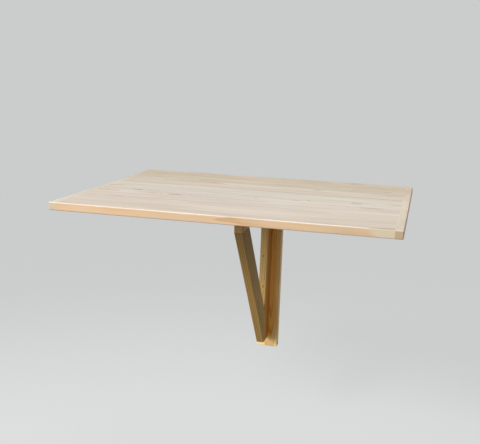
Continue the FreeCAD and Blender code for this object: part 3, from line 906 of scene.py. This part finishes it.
# %% A round floor
FLOOR_PLACE = (0, -0.3, -0.833)  # metres: under the table's middle, at the height of the ground
FLOOR_RADIUS = 4.0
FLOOR_SIDES = 96
rim_mesh = bmesh.new()
bmesh.ops.create_circle(rim_mesh, cap_ends=True, segments=FLOOR_SIDES, radius=FLOOR_RADIUS)
floor_mesh = bpy.data.meshes.new("floor")
rim_mesh.to_mesh(floor_mesh)
rim_mesh.free()
floor = bpy.data.objects.new("floor", floor_mesh)
floor.location = FLOOR_PLACE
bpy.context.scene.collection.objects.link(floor)
print("floor at", FLOOR_PLACE[2], "m")

# %% [markdown]
# Its paint answers two kinds of rays. Looked at, straight or in a reflection, it is pale: a matt paint that
# takes the soft shadow, and a glow that keeps it even. For light that bounces up to the table it is a duller
# ground, so that the underside stays in shade. Light Path tells the two kinds apart.

# %% Matt pale paint
PALE = "#cbcccc"
SHADED = "#9fa0a0"
GLOW = 0.68
GROUND = "#918f8b"
FADE = {"From Min": 0.2 * FLOOR_RADIUS, "From Max": 0.75 * FLOOR_RADIUS, "To Min": 1.0, "To Max": 0.0}


def looked_at(tree):
    """1 for rays from the camera, straight or by way of metal or glass, and 0 for others."""
    path = add_node(tree, "ShaderNodeLightPath").outputs
    rays = path["Is Camera Ray"]
    for other in ("Is Glossy Ray", "Is Transmission Ray"):
        rays = add_node(tree, "ShaderNodeMath", {0: rays, 1: path[other]}, operation="MAXIMUM").outputs[0]
    return rays


painted = blank_material("matt_pale_paint")
tree = painted.node_tree
here = add_node(tree, "ShaderNodeTexCoord").outputs
out = add_node(tree, "ShaderNodeVectorMath", {0: here["Object"]}, operation="LENGTH").outputs["Value"]
near = add_node(tree, "ShaderNodeMapRange", {"Value": out, **FADE}, interpolation_type="SMOOTHSTEP")
below = add_node(tree, "ShaderNodeNewGeometry").outputs["Backfacing"]
above = add_node(tree, "ShaderNodeMath", {0: 1.0, 1: below}, operation="SUBTRACT")
shown = add_node(tree, "ShaderNodeMath", {0: near.outputs[0], 1: above.outputs[0]}, operation="MULTIPLY")
ground = add_node(tree, "ShaderNodeBsdfDiffuse", {"Color": linear(GROUND)})
matt = add_node(tree, "ShaderNodeBsdfDiffuse", {"Color": linear(SHADED)})
glow = add_node(tree, "ShaderNodeEmission", {"Color": linear(PALE), "Strength": GLOW})
pale = add_node(tree, "ShaderNodeAddShader", {0: matt.outputs[0], 1: glow.outputs[0]})
paint = add_node(tree, "ShaderNodeMixShader", {0: looked_at(tree), 1: ground.outputs[0], 2: pale.outputs[0]})
clear = add_node(tree, "ShaderNodeBsdfTransparent")
faded = add_node(tree, "ShaderNodeMixShader", {0: shown.outputs[0], 1: clear.outputs[0], 2: paint.outputs[0]})
add_node(tree, "ShaderNodeOutputMaterial", {"Surface": faded.outputs[0]})
floor_mesh.materials.append(painted)
print("the floor's paint has", len(tree.nodes), "nodes")

# %% [markdown]
# ## Light
# The world gives a little fill from all sides, so that no shadow is black. Rays that look at it get a pale
# backdrop of the floor's colour instead, so floor and backdrop run into each other.

# %% World
FILL = "#f4f4f4"
FILL_STRENGTH = 0.18
scene = bpy.context.scene
scene.view_settings.view_transform = "Standard"
world = bpy.data.worlds.new("studio")
scene.world = world
world.use_nodes = True
tree = world.node_tree
tree.nodes.clear()
backdrop = add_node(tree, "ShaderNodeBackground", {"Color": linear(PALE), "Strength": 1.0})
fill = add_node(tree, "ShaderNodeBackground", {"Color": linear(FILL), "Strength": FILL_STRENGTH})
either = add_node(
    tree, "ShaderNodeMixShader", {0: looked_at(tree), 1: fill.outputs[0], 2: backdrop.outputs[0]}
)
add_node(tree, "ShaderNodeOutputWorld", {"Surface": either.outputs[0]})
print("fill of", FILL_STRENGTH, "under a backdrop of", PALE)

# %% [markdown]
# Two large softboxes stand far off at the front left, one high and one low, as daylight from wide windows
# would come. Being large, they give soft shadows, and from far off they light both ends of the table
# alike. A weak one at the right opens the shadows, and one overhead and one behind keep the top even and
# the back in view.

# %% Lamps
LAMPS = {  # place and aim in metres, width in metres, power in watts
    "window_softbox_high": ((-1.4, -5.3, 2.9), (0, -0.3, -0.05), 1.3, 196),
    "window_softbox_low": ((-4.8, -5.0, 1.75), (0, -0.2, -0.15), 3.2, 400),
    "right_softbox": ((2.6, -2.0, 1.0), (0, -0.3, 0), 1.5, 14),
    "overhead_softbox": ((0.3, 0.0, 2.6), (0, -0.3, 0), 2.0, 15),
    "back_softbox": ((1.2, 2.2, 2.4), (0, -0.3, 0), 1.6, 20),
}
for name, (spot, aim, width, power) in LAMPS.items():
    lamp = bpy.data.lights.new(name, "AREA")
    lamp.shape = "DISK"
    lamp.size = width
    lamp.energy = power
    stand = bpy.data.objects.new(name, lamp)
    stand.location = spot
    stand.rotation_euler = (Vector(aim) - Vector(spot)).to_track_quat("-Z", "Y").to_euler()
    stand.visible_camera = False
    scene.collection.objects.link(stand)
print("lamps:", ", ".join(LAMPS))

# %% [markdown]
# ## Camera
# The camera stands to the right of the table's middle, a little above its top, where the picture was taken.
# Its place, its lens and two of its axes come from a fit to the top's corners, and the third axis follows.

# %% Camera at the picture's angle
LENS_MM = 56.08
SENSOR_MM = 36
EYE = (0.4066, -2.0347, 0.3353)
RIGHT = Vector((0.96841, 0.24706, 0.03383))
UP = Vector((-0.08095, 0.18313, 0.97974))
camera = bpy.data.objects.new("camera", bpy.data.cameras.new("camera"))
camera.data.lens = LENS_MM
camera.data.sensor_width = SENSOR_MM
turn = Matrix((RIGHT, UP, RIGHT.cross(UP))).transposed().to_4x4()
camera.matrix_world = Matrix.Translation(EYE) @ turn
scene.collection.objects.link(camera)
scene.camera = camera
print("camera at", [round(x, 3) for x in camera.location])
